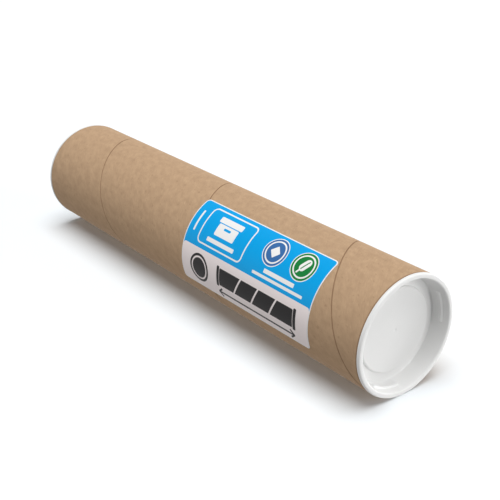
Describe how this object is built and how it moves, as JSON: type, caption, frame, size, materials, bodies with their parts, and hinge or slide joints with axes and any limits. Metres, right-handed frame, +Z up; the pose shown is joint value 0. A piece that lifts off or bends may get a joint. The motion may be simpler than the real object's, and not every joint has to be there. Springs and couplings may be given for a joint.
{
  "type": "cardboard mailing tube",
  "caption": "Spiral-wound kraft board mailing tube with a white push-in plastic cap in each end and a printed paper label wrapped part of the way round its side.",
  "frame": {"origin": "centre of the bottom cap's face, on the surface the tube stands on", "axes": "+Z up along the tube's axis, with the label's middle facing between +X and -Y"},
  "size_m": [0.0668, 0.0668, 0.3088],
  "materials": {
    "kraft_board": "matt brown kraft paper",
    "label_paper": "printed paper, satin",
    "cap_plastic": "moulded white polyethylene, satin"
  },
  "bodies": {
    "tube": {"tube": "kraft_board", "label": "label_paper"},
    "top_cap": {"top_cap": "cap_plastic"},
    "bottom_cap": {"bottom_cap": "cap_plastic"}
  },
  "joints": [
    {"name": "top_cap_pull", "type": "slide", "parent": "tube", "child": "top_cap", "axis": [0, 0, 1], "range_m": [0, 0.025]},
    {"name": "bottom_cap_pull", "type": "slide", "parent": "tube", "child": "bottom_cap", "axis": [0, 0, -1], "range_m": [0, 0.025]}
  ]
}
